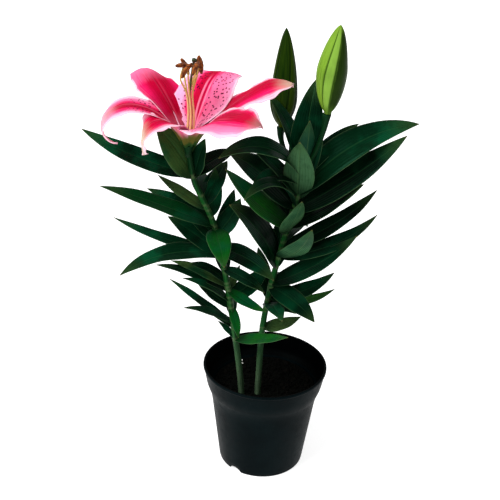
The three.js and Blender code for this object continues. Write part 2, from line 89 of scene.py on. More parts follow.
# Leaves in turn up each stem: height on the stem, azimuth, rise at the root, fall of the rise by the
# tip, length, width, turn about the midrib, and how light and yellow the leaf is from 0 to 1
LEAVES_LEFT = [
    [156, 325, 18, -10, 68, 15, 20, 0.7],
    [157, 165, 46, 10, 25, 7, -20, 0.5],
    [174, 190, 38, 34, 55, 12, -12, 0.4],
    [169, 170, 38, 7, 82, 10, -25, 0.3],
    [194, 320, -60, 20, 34, 10, 20, 0.7],
    [184, 95, 20, 60, 50, 12, 0, 0.4],
    [193, 165, 27, -8, 41, 10, -30, 0.3],
    [205, 28, 12, -46, 52, 18, 45, 0.4],
    [200, 196, 47, 32, 57, 11, -22, 0.6],
    [214, 70, 12, -16, 34, 9, 30, 0.9],
    [212, 176, 31, 30, 76, 12, -25, 0.1],
    [213, 340, -30, -20, 44, 12, 25, 0.7],
    [217, 170, 30, 23, 61, 11, -28, 0.9],
    [221, 165, 44, 60, 46, 10, -25, 0.1],
    [232, 100, 25, 60, 58, 15, 0, 0.4],
    [236, 330, -6, 20, 48, 14, 20, 0.2],
    [250, 204, 22, 54, 106, 22, -18, 0.45],
    [252, 182, 12, -16, 109, 13, -25, 0.5],
    [252, 166, 34, 8, 63, 21, -32, 0.3],
    [259, 325, 4, 36, 68, 21, 25, 0.2],
    [267, 142, 33, 18, 46, 15, -32, 0.3],
    [262, 100, 20, 60, 60, 16, 0, 0.25],
    [262, 70, 54, 10, 58, 16, 20, 0.3],
    [272, 30, 40, -30, 43, 20, 30, 0.4],
    [278, 282, 0, 28, 58, 22, 5, 0.68],
    [282, 190, 26, 8, 115, 20, -26, 0.56],
    [283, 162, 26, 12, 74, 17, -35, 0.3],
    [292, 80, 62, -10, 46, 17, 20, 0.3],
    [299, 160, 23, -8, 58, 12, -25, 0.9],
    [304, 60, 50, 20, 50, 21, 0, 0.2],
    [314, 98, 25, 60, 60, 16, 0, 0.4],
    [334, 171, 9, -20, 113, 20, -38, 0.4],
    [334, 15, 38, 20, 46, 23, 20, 0.2],
    [332, 165, 60, 22, 58, 32, -40, 0.88],
    [332, 350, 75, 0, 40, 18, 60, 0.45],
]
LEAVES_RIGHT = [
    [168, 348, 10, -34, 43, 15, 30, 0.9],
    [190, 342, 38, 85, 34, 20, 20, 0.2],
    [195, 288, 20, 30, 46, 18, 0, 0.4],
    [196, 20, -14, -40, 75, 11, 30, 0.8],
    [200, 105, 50, 30, 60, 14, 0, 0.3],
    [202, 8, 2, -44, 72, 17, 30, 0.2],
    [212, 68, 15, 60, 55, 14, 0, 0.4],
    [214, 325, -8, 30, 58, 22, 28, 0.3],
    [218, 350, 26, -26, 102, 24, 30, 0.08],
    [236, 80, 60, 20, 60, 18, 0, 0.2],
    [237, 199, 68, 30, 88, 38, -35, 0.1],
    [246, 300, 26, -40, 78, 22, -25, 0.62],
    [247, 358, 9, -44, 107, 18, 32, 0.08],
    [257, 8, 20, -30, 109, 18, 35, 0.08],
    [264, 64, 20, 60, 62, 16, 0, 0.3],
    [272, 285, 42, -18, 68, 22, 14, 0.64],
    [280, 110, 55, 25, 80, 20, 0, 0.2],
    [281, 196, 34, -22, 90, 30, -32, 0.76],
    [281, 352, 34, -4, 84, 29, 28, 0.08],
    [300, 230, 66, 100, 92, 16, -20, 0.3],
    [296, 2, 31, -15, 129, 31, 32, 0.08],
    [300, 160, 46, 30, 82, 38, -20, 0.2],
    [302, 102, 20, 55, 66, 17, 0, 0.3],
    [312, 176, 56, 27, 72, 18, -25, 0.3],
    [309, 266, 66, -6, 70, 29, -10, 0.62],
    [318, 300, 76, -14, 72, 26, 8, 0.4],
    [315, 10, 52, 47, 134, 33, 35, 0.45],
    [328, 206, 60, 88, 104, 26, -25, 0.3],
    [326, 72, 90, 36, 98, 30, 20, 0.2],
    [328, 161, 78, 32, 90, 22, -15, 0.2],
    [333, 36, 46, 30, 76, 15, 30, 0.15],
    [324, 192, 40, 110, 58, 20, -20, 0.35],
]

# Tepals: name, azimuth, length, width, rise at five places from root to tip, turn, sweep, edge wave
TEPAL_THICKNESS = 1.1
TEPAL_ROOT_RADIUS = 4.8
TEPAL_STEPS = 56
TEPAL_ACROSS = 32
WIDEST_OUTER = 0.62
WIDEST_INNER = 0.44
WIDEST = {"tepal_outer_1": 0.5, "tepal_outer_2": 0.54}
TIP_BLUNTNESS = {"tepal_outer_1": 0.46, "tepal_outer_2": 0.85, "tepal_inner_3": 0.9}
TIP_CURL = {"tepal_outer_2": 0.4, "tepal_outer_1": 0.12}
EDGE_WAVES = {"tepal_outer_1": 2.8, "tepal_outer_2": 3.4, "tepal_outer_3": 3.4, "tepal_inner_3": 3.0}
TEPALS = [
    ["tepal_outer_1", 0, 112, 43, [61, 45, 39, 30, -8], 14, -6, 1.6],
    ["tepal_inner_1", 63, 107, 58, [68, 60, 44, 0, -60], -6, 3, 2.0],
    ["tepal_outer_2", 135, 112, 42, [72, 45, 34, 18, -80], 2, -13, 1.6],
    ["tepal_inner_2", 183, 122, 42, [68, 41, 7, -57, -170], -6, 8, 1.2],
    ["tepal_outer_3", 249, 85, 38, [64, 50, 22, -66, -108], 0, -68, 2.4],
    ["tepal_inner_3", 305, 112, 54, [63, 39, 21, 8, 4], 32, 10, 2.0],
]

# How each tepal is coloured, in the order of LOOK_PARTS
LOOK_PARTS = ("band", "spread", "margin", "spots", "tip", "ribs", "lilac", "shade",
              "tip_colour", "blush")
LOOKS = {
    "tepal_outer_1": (0.58, 0.8, 0.34, 0.2, 0.8, 0.1, 2.0, 0.8,
                      (0.56, 0.43, 0.32), (0.85, 0.025, 0.14)),
    "tepal_inner_1": (0.59, 0.28, 0.12, 0.76, 0.92, 0.8, 0.79, 0.0,
                      (0.93, 0.28, 0.45), (0.93, 0.17, 0.36)),
    "tepal_outer_2": (0.46, 0.85, 0.08, 0.12, 0.58, 0.08, 2.0, 0.7,
                      (0.96, 0.19, 0.38), (0.88, 0.04, 0.18)),
    "tepal_inner_2": (0.52, 0.38, 0.36, 0.5, 0.56, 0.2, 2.0, 0.1,
                      (0.9, 0.43, 0.52), (0.95, 0.13, 0.32)),
    "tepal_outer_3": (0.5, 0.7, 0.46, 0.15, 0.62, 0.2, 2.0, 0.2,
                      (0.62, 0.56, 0.42), (0.93, 0.13, 0.32)),
    # This tepal's dark grey-brown tip colour is painted shade at its far end.
    "tepal_inner_3": (0.66, 0.5, 0.26, 0.42, 0.78, 0.15, 2.0, 0.15,
                      (0.33, 0.16, 0.15), (0.94, 0.16, 0.34)),
}

# Stamens: azimuth of the root, middle of the anther from the bloom's seat, anther heading and pitch, and
# how far the stalk bows out below the anther
STAMENS = [
    [210, [-4.4, -5, 74.8], 220, 10, 4],
    [150, [-3.1, 6, 71.1], 200, 65, 0.5],
    [270, [-1.9, -9.5, 71.7], 198, -53, 0.5],
    [330, [6.4, -11, 74.7], 253, -28, 0],
    [30, [10.5, 3, 73.8], 337, -80, 0.5],
    [90, [7.4, 9, 70.7], 240, 100, 0],
]
BUNDLE = [[24, 2.4], [48, 0.8]]
BUNDLE_RADIUS = 3
FILAMENT_ROOT_RADIUS = 4
FILAMENT_RADIUS = 1.0
ANTHER_RADIUS = 2.4
ANTHER_LENGTH = 16
OVARY_RADIUS = 2.0
STYLE_RADIUS = 1.1
STIGMA_RADIUS = 2.5

# Buds: name, foot, tip, radius, place of the greatest width, bend of the middle line
BUD_FOOT_RADIUS = 3.4
RIDGE_HALF = 0.34
RIDGE_LEAN = 0.5
BUDS = [
    ["bud_front", [44.9, -15, 394.8], [50.7, -15, 475.5], 13.9, 0.48, -1.7],
    ["bud_back", [4.6, 14.4, 371], [4.4, 19, 463.5], 12.8, 0.3, 0.9],
]

# Camera fitted to the photograph: place, downward tilt, roll and focal length
CAMERA_PLACE = (-0.0207, -0.842, 0.6546)
CAMERA_TILT = 25.87
CAMERA_ROLL = 2.34
CAMERA_LENS = 67.75


# Node helpers

class Nodes:
    """A material's node tree, with short calls for the nodes that the materials below use."""

    def __init__(self, name):
        self.material = bpy.data.materials.new(name)
        self.material.use_nodes = True
        self.tree = self.material.node_tree
        self.shader = self.tree.nodes["Principled BSDF"]

    def node(self, kind):
        return self.tree.nodes.new("ShaderNode" + kind)

    def link(self, source, target):
        self.tree.links.new(source, target)

    def feed(self, socket, value):
        """Sets a socket, or links it where the value is another node's output."""
        if isinstance(value, bpy.types.NodeSocket):
            self.link(value, socket)
        elif value is not None:
            socket.default_value = value

    def set(self, **values):
        """Sets or links inputs of the shader, named with underscores for spaces."""
        for name, value in values.items():
            self.feed(self.shader.inputs[name.replace("_", " ")], value)

    def attribute(self, name):
        node = self.node("Attribute")
        node.attribute_name = name
        return node.outputs["Fac"]

    def place(self):
        return self.node("TexCoord").outputs["Object"]

    def uv(self):
        return self.axes(self.node("TexCoord").outputs["UV"])[:2]

    def axes(self, vector):
        node = self.node("SeparateXYZ")
        self.link(vector, node.inputs[0])
        return node.outputs["X"], node.outputs["Y"], node.outputs["Z"]

    def vector(self, x=0.0, y=0.0, z=0.0):
        node = self.node("CombineXYZ")
        for socket, value in zip(node.inputs, (x, y, z)):
            self.feed(socket, value)
        return node.outputs[0]

    def math(self, operation, a, b=None, c=None):
        node = self.node("Math")
        node.operation = operation
        for socket, value in zip(node.inputs, (a, b, c)):
            self.feed(socket, value)
        return node.outputs[0]

    def times(self, a, b):
        return self.math("MULTIPLY", a, b)

    def plus(self, a, b):
        return self.math("ADD", a, b)

    def minus(self, a, b):
        return self.math("SUBTRACT", a, b)

    def noise(self, vector, scale, detail=3.0, roughness=0.55):
        node = self.node("TexNoise")
        self.feed(node.inputs["Vector"], vector)
        node.inputs["Scale"].default_value = scale
        node.inputs["Detail"].default_value = detail
        node.inputs["Roughness"].default_value = roughness
        return node.outputs["Fac"]

    def cells(self, vector, scale, dimensions="3D"):
        node = self.node("TexVoronoi")
        node.voronoi_dimensions = dimensions
        self.feed(node.inputs["Vector"], vector)
        node.inputs["Scale"].default_value = scale
        return node.outputs["Distance"], node.outputs["Color"]

    def ease(self, value, low, high, start=0.0, end=1.0):
        """Smooth step from start to end as the value goes from low to high."""
        node = self.node("MapRange")
        node.interpolation_type = "SMOOTHSTEP"
        for name, number in (("From Min", low), ("From Max", high), ("To Min", start), ("To Max", end)):
            self.feed(node.inputs[name], number)
        self.feed(node.inputs["Value"], value)
        return node.outputs["Result"]

    def mix(self, share, a, b):
        node = self.node("Mix")
        node.data_type = "RGBA"
        self.feed(node.inputs[0], share)
        for socket, value in ((node.inputs[6], a), (node.inputs[7], b)):
            self.feed(socket, (*value, 1.0) if isinstance(value, tuple) else value)
        return node.outputs[2]

    def lay(self, base, colour, value, low, high, most=1.0):
        """The colour over the base, by a smooth step of the value."""
        return self.mix(self.ease(value, low, high, 0.0, most), base, colour)

    def bump(self, height, strength, distance):
        node = self.node("Bump")
        node.inputs["Strength"].default_value = strength
        node.inputs["Distance"].default_value = distance
        self.feed(node.inputs["Height"], height)
        self.feed(self.shader.inputs["Normal"], node.outputs[0])


# Materials

def leaf_material():
    """Dark upper side, paler dull underside; tone lifts a leaf from near black to olive."""
    n = Nodes("lily_leaf")
    along, across = n.uv()
    under, tone = n.attribute("under"), n.attribute("tone")
    off_rib = n.math("ABSOLUTE", n.minus(across, 0.5))
    cloud = n.noise(n.place(), 24.0, 3.0)
    mottle = n.noise(n.place(), 150.0, 4.0)
    drift = n.times(tone, 9.0)
    stretch = n.vector(n.times(along, 2.2), n.times(across, 24.0), drift)
    streak = n.noise(stretch, 1.6, 4.0)
    upper = n.mix(n.ease(tone, 0.0, 0.5), (0.0002, 0.0028, 0.0011), (0.0006, 0.015, 0.0048))
    upper = n.lay(upper, (0.002, 0.078, 0.005), tone, 0.5, 0.68)
    upper = n.lay(upper, (0.04, 0.08, 0.02), tone, 0.75, 0.92)
    # Cloudy teal-green patches: partly tone that varies over the leaf, partly painted sheen.
    patch = n.times(n.ease(cloud, 0.47, 0.64), n.ease(tone, 0.05, 0.4, 0.3, 0.85))
    upper = n.mix(patch, upper, (0.001, 0.056, 0.02))
    upper = n.lay(upper, (0.006, 0.05, 0.016), streak, 0.5, 0.75, 0.25)
    upper = n.lay(upper, (0.02, 0.08, 0.024), off_rib, 0.03, 0.0, 0.4)
    lower = n.mix(n.ease(tone, 0.05, 0.5), (0.0008, 0.01, 0.004), (0.012, 0.056, 0.03))
    lower = n.lay(lower, (0.048, 0.125, 0.05), tone, 0.45, 0.65)
    lower = n.lay(lower, (0.095, 0.165, 0.07), tone, 0.75, 0.95)
    lower = n.lay(lower, (0.001, 0.03, 0.013), cloud, 0.44, 0.62, 0.65)
    lower = n.lay(lower, (0.01, 0.05, 0.019), streak, 0.42, 0.7, 0.4)
    lower = n.lay(lower, (0.06, 0.13, 0.048), off_rib, 0.045, 0.0, 0.5)
    colour = n.mix(under, upper, lower)
    colour = n.lay(colour, (0.08, 0.15, 0.06), off_rib, 0.475, 0.497, 0.5)
    # Painted light: lighter toward the tip, which reaches out of the shade of the stem and other leaves.
    colour = n.lay(colour, (0.035, 0.08, 0.02), along, 0.7, 1.0, 0.45)
    colour = n.lay(colour, (0.13, 0.1, 0.03), along, 0.965, 1.0, 0.6)
    colour = n.lay(colour, (0.001, 0.01, 0.004), mottle, 0.5, 0.75, 0.35)
    # Painted shade: darker near the root, in the shade of the stem and the leaves above.
    colour = n.lay(colour, (0.0008, 0.0075, 0.0028), along, 0.38, 0.04, 0.7)
    vein = n.math("SINE", n.times(across, 2 * math.pi * 11))
    rib = n.ease(off_rib, 0.0, 0.07, 0.0, 1.0)
    height = n.plus(rib, n.times(mottle, 0.5))
    height = n.plus(n.times(vein, 0.2), height)
    n.bump(height, 0.6, 0.0007)
    n.set(Base_Color=colour, Roughness=n.ease(cloud, 0.3, 0.7, 0.28, 0.4), Specular_IOR_Level=0.06,
          Specular_Tint=(0.25, 1.0, 0.6, 1.0))
    return n.material


def stem_material():
    n = Nodes("lily_stem")
    along, around = n.uv()
    streak = n.noise(n.vector(n.times(along, 5.0), n.times(around, 16.0)), 1.6, 4.0)
    speck = n.noise(n.place(), 420.0, 2.0)
    scar = n.attribute("scar")
    colour = n.mix(n.ease(along, 0.1, 0.45), (0.062, 0.1, 0.056), (0.005, 0.08, 0.011))
    colour = n.lay(colour, (0.004, 0.017, 0.007), streak, 0.45, 0.62, 0.8)
    # Pale streaks: partly the stem's own striping, partly painted highlight.
    colour = n.lay(colour, (0.12, 0.19, 0.09), streak, 0.4, 0.28, 0.6)
    colour = n.lay(colour, (0.01, 0.022, 0.009), speck, 0.58, 0.72, 0.5)
    # Painted shade: darker above 0.30 m, under the crown of leaves and the bloom.
    height = n.axes(n.place())[2]
    colour = n.lay(colour, (0.002, 0.016, 0.005), height, 0.3, 0.36, 0.85)
    # Painted shade: one side of the stem darker all along its length.
    side = n.math("COSINE", n.times(around, 2 * math.pi))
    colour = n.lay(colour, (0.004, 0.015, 0.005), side, -0.2, 0.7, 0.75)
    colour = n.mix(n.times(scar, 0.6), colour, (0.09, 0.13, 0.055))
    n.bump(n.plus(streak, n.times(speck, 0.3)), 0.6, 0.0006)
    n.set(Base_Color=colour, Roughness=0.42, Specular_IOR_Level=0.06, Specular_Tint=(0.5, 1.0, 0.7, 1.0))
    return n.material


def tepal_material(name, length, width, look):
    """A tepal. look: band is where across it the crimson lies, spread its half width, margin the pale edge's
    width, spots the share of the length with spots, tip where along it the tip's colour starts, blush the
    pink between, ribs how light the two ribs by the midrib are, lilac where across it a pale side starts,
    shade how strongly painted shade darkens its lower half toward the throat."""
    n = Nodes(name)
    along, across = n.uv()
    under = n.attribute("under")
    off_rib = n.times(n.math("ABSOLUTE", n.minus(across, 0.5)), 2.0)
    stretch = n.vector(n.times(along, 2.6), n.times(across, 20.0), look["band"] * 9)
    streak = n.noise(stretch, 1.7, 5.0)
    cloud = n.noise(n.place(), 60.0, 4.0)
    rough = n.plus(n.times(n.minus(streak, 0.5), 0.6), n.times(n.minus(cloud, 0.5), 0.35))
    off_band = n.times(n.math("ABSOLUTE", n.minus(across, look["band"])), 2.0)
    ragged = n.plus(off_band, rough)
    edge = n.plus(off_rib, n.times(rough, 0.5))
    far = n.plus(along, n.times(rough, 0.25))
    spread, margin, spots, tip = look["spread"], look["margin"], look["spots"], look["tip"]
    pink = n.mix(n.ease(edge, 0.45, 1.0), look["blush"], (0.95, 0.3, 0.5))
    pink = n.mix(n.ease(ragged, spread * 0.9, spread * 1.7), (0.8, 0.008, 0.11), pink)
    colour = n.mix(n.ease(ragged, spread * 0.4, spread), (0.5, 0.0004, 0.032), pink)
    deep = n.times(n.ease(ragged, spread, spread * 0.4), n.ease(streak, 0.5, 0.68, 0.0, 0.7))
    colour = n.mix(deep, colour, (0.24, 0.0003, 0.014))
    # Painted shade: the crimson darkens toward the throat, as much as the shade value asks.
    colour = n.lay(colour, (0.29, 0.0003, 0.016), far, 0.58, 0.2, look["shade"])
    colour = n.lay(colour, look["tip_colour"], far, tip, tip + 0.22, 0.85)
    colour = n.lay(colour, (0.93, 0.6, 0.72), edge, 1.0 - margin, 1.0 - 0.2 * margin, 0.9)
    pale = n.ease(n.plus(across, n.times(rough, 0.15)), look["lilac"], look["lilac"] + 0.08)
    pale = n.times(pale, n.ease(along, 0.75, 0.45, 0.0, 0.9))
    colour = n.mix(pale, colour, (0.9, 0.44, 0.68))
    glow = 0.5 if spots > 0.3 else 0.15
    colour = n.lay(colour, (0.9, 0.36, 0.56), along, 0.28, 0.16, glow)
    colour = n.lay(colour, (0.48, 0.01, 0.12), along, 0.13, 0.07, 0.9)
    ridge = n.math("ABSOLUTE", n.minus(off_rib, 0.085))
    ridge = n.times(n.ease(ridge, 0.05, 0.01), n.ease(along, 0.7, 0.5))
    colour = n.mix(n.times(ridge, look["ribs"]), colour, (0.93, 0.26, 0.42))
    groove = n.times(n.ease(off_rib, 0.05, 0.0), n.ease(along, 0.8, 0.5))
    colour = n.mix(n.times(groove, 0.75), colour, (0.3, 0.0006, 0.022))
    grid = n.vector(n.times(along, length / 3.8), n.times(across, width / 3.8), 0.0)
    near, tint = n.cells(grid, 1.0, "2D")
    zone = n.times(n.ease(along, spots + 0.1, spots - 0.06), n.ease(along, 0.1, 0.18))
    zone = n.times(zone, n.ease(off_rib, 0.92, 0.76))
    zone = n.times(zone, n.ease(off_rib, 0.1, 0.2))
    dot = n.times(n.ease(near, 0.26, 0.16), zone)
    dot = n.times(dot, n.math("GREATER_THAN", n.noise(tint, 7.0, 0.0), 0.4))
    colour = n.mix(dot, colour, (0.11, 0.0005, 0.022))
    back = n.mix(n.ease(n.plus(off_rib, rough), 0.15, 0.85), (0.76, 0.08, 0.22), (0.91, 0.42, 0.58))
    back = n.lay(back, (0.36, 0.26, 0.12), off_rib, 0.16, 0.03, 0.6)
    back = n.lay(back, (0.085, 0.08, 0.014), along, 0.26, 0.1)
    back = n.lay(back, look["tip_colour"], far, tip, tip + 0.25, 0.7)
    colour = n.mix(under, colour, back)
    colour = n.lay(colour, (0.014, 0.05, 0.01), along, 0.06, 0.02)
    vein = n.math("SINE", n.times(across, 2 * math.pi * 15))
    height = n.plus(n.times(vein, 0.14), n.times(streak, 0.8))
    height = n.plus(height, n.times(dot, 0.9))
    n.bump(height, 0.5, 0.0007)
    n.set(Base_Color=colour, Roughness=0.5, Specular_IOR_Level=0.04, Specular_Tint=(1.0, 0.35, 0.5, 1.0),
          Subsurface_Weight=0.06, Subsurface_Radius=(1.0, 0.25, 0.35), Subsurface_Scale=0.0012)
    return n.material


def filament_material():
    n = Nodes("lily_filament")
    along, around = n.uv()
    streak = n.noise(n.vector(n.times(along, 6.0), n.times(around, 6.0)), 2.0)
    colour = n.mix(n.ease(along, 0.45, 0.85), (0.9, 0.6, 0.28), (0.64, 0.45, 0.12))
    colour = n.lay(colour, (0.56, 0.29, 0.08), streak, 0.42, 0.7, 0.5)
    n.bump(streak, 0.4, 0.0002)
    n.set(Base_Color=colour, Roughness=0.4, Specular_IOR_Level=0.1, Subsurface_Weight=0.1,
          Subsurface_Scale=0.001)
    return n.material


def anther_material():
    n = Nodes("lily_anther")
    grain = n.noise(n.place(), 2600.0, 2.0)
    patch = n.noise(n.place(), 300.0, 3.0)
    groove = n.attribute("groove")
    colour = n.mix(n.ease(patch, 0.4, 0.62), (0.06, 0.006, 0.001), (0.33, 0.085, 0.009))
    colour = n.lay(colour, (0.42, 0.14, 0.02), grain, 0.5, 0.72, 0.6)
    colour = n.mix(n.times(groove, 0.9), colour, (0.022, 0.002, 0.001))
    n.bump(n.plus(grain, patch), 0.9, 0.0004)
    n.set(Base_Color=colour, Roughness=0.88, Specular_IOR_Level=0.15, Sheen_Weight=0.1)
    return n.material


def pistil_material():
    n = Nodes("lily_pistil")
    along, around = n.uv()
    streak = n.noise(n.vector(n.times(along, 8.0), n.times(around, 8.0)), 2.0)
    colour = n.mix(n.ease(along, 0.3, 0.72), (0.56, 0.4, 0.14), (0.07, 0.07, 0.012))
    colour = n.lay(colour, (0.008, 0.022, 0.006), along, 0.9, 0.96, 0.9)
    colour = n.lay(colour, (0.11, 0.11, 0.022), streak, 0.4, 0.7, 0.35)
    n.bump(streak, 0.4, 0.0004)
    n.set(Base_Color=colour, Roughness=0.35, Specular_IOR_Level=0.3, Coat_Weight=0.15)
    return n.material


def bud_material(name, ridge, flank, shade, groove_colour, foot):
    """ridge and flank colour the lit outer tepals, shade is painted shade on the tepal of the unlit side,
    foot the blunt bottom.
    """
    n = Nodes(name)
    along, around = n.uv()
    groove, raised, dark = n.attribute("groove"), n.attribute("ridge"), n.attribute("shade")
    streak = n.noise(n.vector(n.times(along, 2.0), n.times(around, 40.0)), 1.5, 4.0)
    cloud = n.noise(n.place(), 50.0, 3.0)
    colour = n.lay(flank, ridge, streak, 0.38, 0.68, 0.65)
    colour = n.lay(colour, groove_colour, streak, 0.46, 0.3, 0.6)
    colour = n.mix(n.times(raised, 0.85), colour, ridge)
    # Painted shade on the tepal of the unlit side.
    colour = n.mix(n.times(dark, 0.95), colour, shade)
    colour = n.mix(n.times(groove, 0.95), colour, groove_colour)
    colour = n.lay(colour, foot, along, 0.16, 0.0, 0.7)
    colour = n.lay(colour, flank, along, 0.9, 1.0, 0.6)
    colour = n.mix(n.ease(cloud, 0.45, 0.75, 0.0, 0.4), colour, n.mix(0.5, colour, shade))
    n.bump(n.plus(n.times(streak, 0.6), n.times(cloud, 0.4)), 0.5, 0.0006)
    n.set(Base_Color=colour, Roughness=0.42, Specular_IOR_Level=0.06, Specular_Tint=(0.7, 1.0, 0.5, 1.0))
    return n.material


def pot_material():
    n = Nodes("pot_plastic")
    grain = n.noise(n.place(), 1500.0, 2.0)
    cloud = n.noise(n.place(), 22.0, 4.0)
    scuff = n.noise(n.place(), 140.0, 5.0, 0.65)
    colour = n.mix(n.ease(cloud, 0.35, 0.7), (0.0004, 0.002, 0.0026), (0.0012, 0.0042, 0.005))
    colour = n.lay(colour, (0.022, 0.03, 0.03), scuff, 0.62, 0.8, 0.18)
    # Painted shade: the inner wall above the soil is near black.
    x, y, z = n.axes(n.place())
    radius = n.math("SQRT", n.plus(n.times(x, x), n.times(y, y)))
    flare = (POT_RIM_RADIUS - COLLAR_FOOT_RADIUS) / (POT_HEIGHT - COLLAR_FOOT_Z)
    wall = n.math("MULTIPLY_ADD", z, flare, COLLAR_LINE_FOOT * MM)
    inner_wall_shade = n.ease(n.minus(wall, radius), 0.0009, 0.0018)
    colour = n.mix(n.times(inner_wall_shade, n.ease(z, 0.089, 0.091)), colour, (0.0003, 0.0006, 0.0007))
    n.bump(n.plus(grain, n.times(cloud, 0.5)), 0.28, 0.0003)
    n.set(Base_Color=colour, Roughness=n.ease(scuff, 0.4, 0.75, 0.4, 0.52), Specular_IOR_Level=0.024,
          Specular_Tint=(0.75, 1.0, 1.0, 1.0))
    return n.material


def soil_material():
    n = Nodes("soil_compost")
    near = n.cells(n.place(), 420.0)[0]
    cloud = n.noise(n.place(), 90.0, 6.0, 0.7)
    # Near-black soil: partly the compost's own dark colour, partly painted shade of the pot's hollow.
    colour = n.mix(n.ease(cloud, 0.3, 0.7), (0.0004, 0.0007, 0.0005), (0.0016, 0.002, 0.0014))
    colour = n.lay(colour, (0.0018, 0.0018, 0.0013), near, 0.2, 0.7, 0.5)
    n.bump(n.plus(cloud, n.times(near, 0.7)), 1.0, 0.0015)
    n.set(Base_Color=colour, Roughness=0.93, Specular_IOR_Level=0.04)
    return n.material


def plain_grain_material(name, dark, light, scale, roughness):
    n = Nodes(name)
    cloud = n.noise(n.place(), scale, 4.0)
    n.bump(cloud, 0.7, 0.0006)
    n.set(Base_Color=n.lay(dark, light, cloud, 0.3, 0.7), Roughness=roughness,
          Specular_IOR_Level=0.04)
    return n.material


# Mesh helpers

def make_object(name, points, faces, material, uv=None, marks=None):
    """A smooth-shaded object from points in millimetres, faces, and values at each point."""
    mesh = bpy.data.meshes.new(name)
    mesh.from_pydata([tuple(p) for p in np.asarray(points, float) * MM], [], faces)
    work = bmesh.new()
    work.from_mesh(mesh)
    bmesh.ops.recalc_face_normals(work, faces=work.faces)
    work.to_mesh(mesh)
    work.free()
    mesh.polygons.foreach_set("use_smooth", [True] * len(mesh.polygons))
    if uv is not None:
        corners = np.empty(len(mesh.loops), dtype=int)
        mesh.loops.foreach_get("vertex_index", corners)
        layer = mesh.uv_layers.new(name="UVMap")
        layer.data.foreach_set("uv", np.asarray(uv, float)[corners].ravel())
    for mark, values in (marks or {}).items():
        mesh.attributes.new(mark, "FLOAT", "POINT").data.foreach_set("value", np.asarray(values, float))
    mesh.materials.append(material)
    piece = bpy.data.objects.new(name, mesh)
    bpy.context.scene.collection.objects.link(piece)
    return piece


def dress(piece, slot, *nodes):
    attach(piece, BODY)
    if nodes:
        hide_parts(*nodes)


class Heap:
    """Points, faces and point values of several shapes gathered into one object."""

    def __init__(self):
        self.points, self.faces, self.uv, self.marks = [], [], [], {}

    def add(self, points, faces, uv, **marks):
        first = len(self.points)
        self.points.extend(points)
        self.faces.extend([tuple(first + i for i in face) for face in faces])
        self.uv.extend(uv)
        for mark, values in marks.items():
            self.marks.setdefault(mark, []).extend(values)

    def build(self, name, material):
        return make_object(name, self.points, self.faces, material, self.uv, self.marks)


def unit(v):
    return v / np.maximum(np.linalg.norm(v, axis=-1, keepdims=True), 1e-9)


def blade(grid, thickness):
    """Closed blade round a grid of middle points, with a grid of thickness; points, faces, uv and under."""
    along, across = grid.shape[:2]
    normal = unit(np.cross(np.gradient(grid, axis=0), np.gradient(grid, axis=1)))
    half = normal * thickness[..., None] / 2
    points = np.concatenate([(grid + half).reshape(-1, 3), (grid - half).reshape(-1, 3)])
    u, v = np.meshgrid(np.linspace(0, 1, along), np.linspace(0, 1, across), indexing="ij")
    uv = np.tile(np.stack([u.ravel(), v.ravel()], axis=1), (2, 1))
    under = np.repeat([0.0, 1.0], along * across)
    faces = []
    count = along * across
    for i in range(along - 1):
        for j in range(across - 1):
            a, b = i * across + j, (i + 1) * across + j
            faces.append((a, b, b + 1, a + 1))
            faces.append((count + a, count + a + 1, count + b + 1, count + b))
    rim = [(0, j) for j in range(across - 1)] + [(i, across - 1) for i in range(along - 1)]
    rim += [(along - 1, j) for j in range(across - 1, 0, -1)] + [(i, 0) for i in range(along - 1, 0, -1)]
    for k, (i, j) in enumerate(rim):
        m, n = rim[(k + 1) % len(rim)]
        a, b = i * across + j, m * across + n
        faces.append((a, b, count + b, count + a))
    return list(points), faces, list(uv), list(under)


def curve_points(route, count):
    """Even points on a centripetal Catmull-Rom curve through the route."""
    p = np.array(route, float)
    p = np.vstack([2 * p[0] - p[1], p, 2 * p[-1] - p[-2]])
    fine = []
    for k in range(1, len(p) - 2):
        steps = np.sqrt(np.linalg.norm(np.diff(p[k - 1:k + 3], axis=0), axis=1))
        knots = np.concatenate([[0], np.cumsum(steps)])
        t = np.linspace(knots[1], knots[2], 40, endpoint=k == len(p) - 3)[:, None]
        a = [p[k - 1 + m] * (knots[m + 1] - t) / (knots[m + 1] - knots[m])
             + p[k + m] * (t - knots[m]) / (knots[m + 1] - knots[m]) for m in range(3)]
        b = [a[m] * (knots[m + 2] - t) / (knots[m + 2] - knots[m])
             + a[m + 1] * (t - knots[m]) / (knots[m + 2] - knots[m]) for m in range(2)]
        fine.append(b[0] * (knots[2] - t) / (knots[2] - knots[1])
                    + b[1] * (t - knots[1]) / (knots[2] - knots[1]))
    fine = np.vstack(fine)
    reach = np.concatenate([[0], np.cumsum(np.linalg.norm(np.diff(fine, axis=0), axis=1))])
    even = np.linspace(0, reach[-1], count)
    return np.stack([np.interp(even, reach, fine[:, axis]) for axis in range(3)], axis=1)


